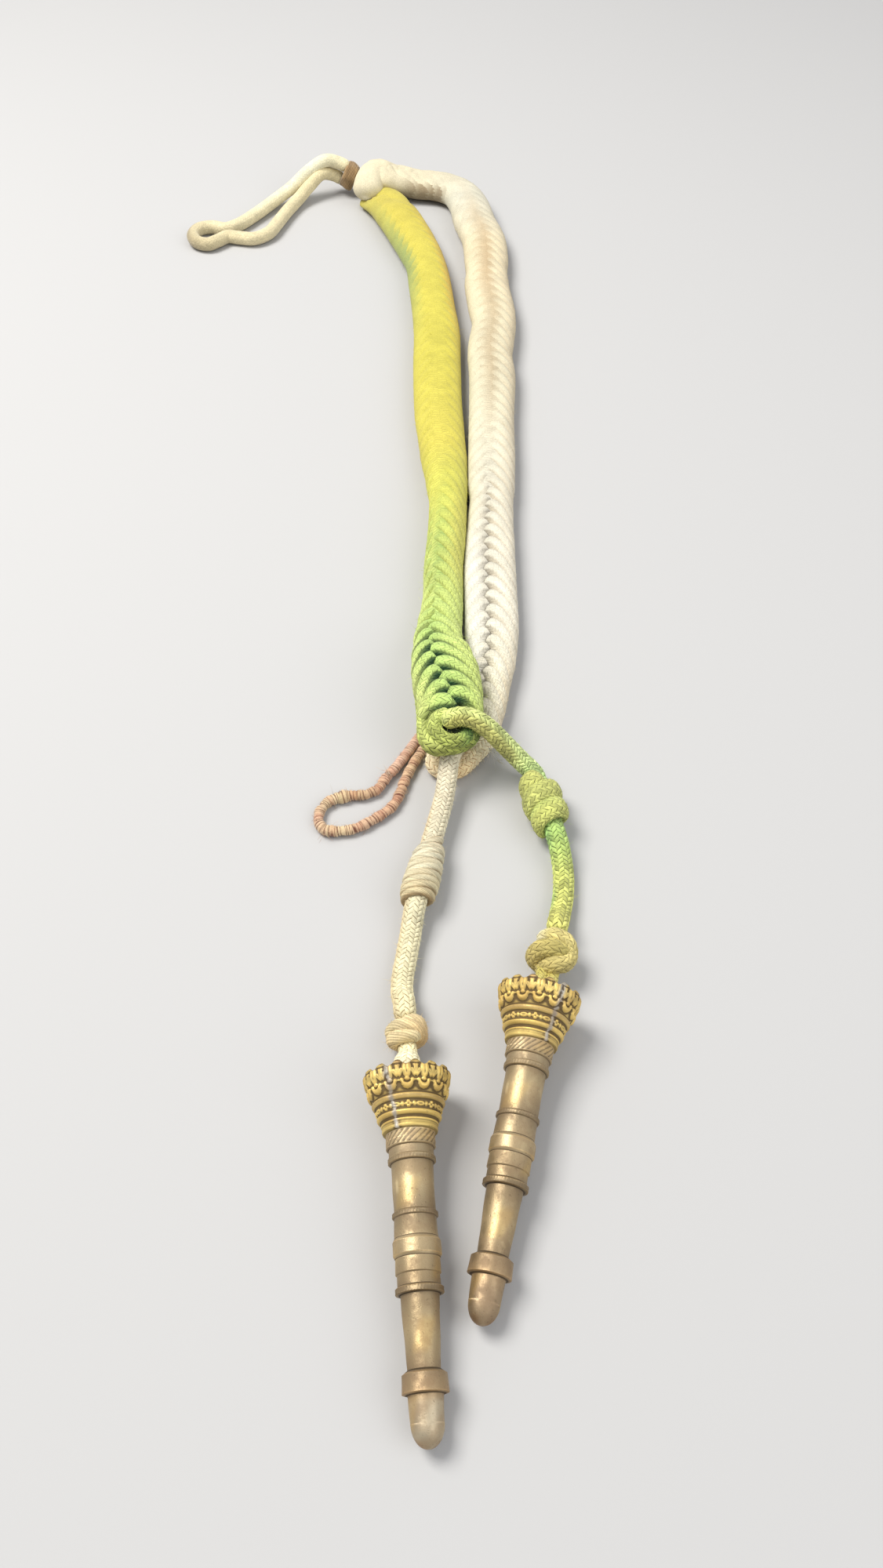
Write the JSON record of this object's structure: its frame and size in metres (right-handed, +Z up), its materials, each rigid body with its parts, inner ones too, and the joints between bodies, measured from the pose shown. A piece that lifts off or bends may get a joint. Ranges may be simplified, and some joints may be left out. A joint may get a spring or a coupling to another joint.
{
  "type": "fourragere",
  "caption": "Plaited shoulder cord: a green and a white arm joined by a whipping, shoulder loop, wound button loop, free cords with knots and brass ferrets.",
  "frame": {"origin": "middle of the outline, on the surface that the piece lies on", "axes": "+Y towards the shoulder loop, -Y towards the ferrets, +X towards the white arm, +Z up from the surface"},
  "size_m": [0.1195, 0.43, 0.0183],
  "materials": {
    "green_cloth": "matte braided yarn, olive yellow running to green",
    "white_cloth": "matte braided yarn, cream with tan stains",
    "brown_thread": "matte wound thread",
    "pink_thread": "satin wound thread",
    "gilt_brass": "stamped, worn gilt with dark grooves",
    "brown_brass": "turned, tarnished brown"
  },
  "bodies": {
    "root": {"green_plait": "green_cloth", "white_plait": "white_cloth", "loop_whipping": "brown_thread", "shoulder_loop": "white_cloth", "green_end_turn": "green_cloth", "white_end_turn": "white_cloth", "thread_loop": "pink_thread", "green_cord": "green_cloth", "green_slide_knot": "green_cloth", "green_end_knot": "green_cloth", "green_cord_tail": "green_cloth", "green_crown": "gilt_brass", "green_tag": "brown_brass", "white_cord": "white_cloth", "white_slide_knot": "white_cloth", "white_end_knot": "white_cloth", "white_cord_tail": "white_cloth", "white_crown": "gilt_brass", "white_tag": "brown_brass"}
  },
  "joints": []
}
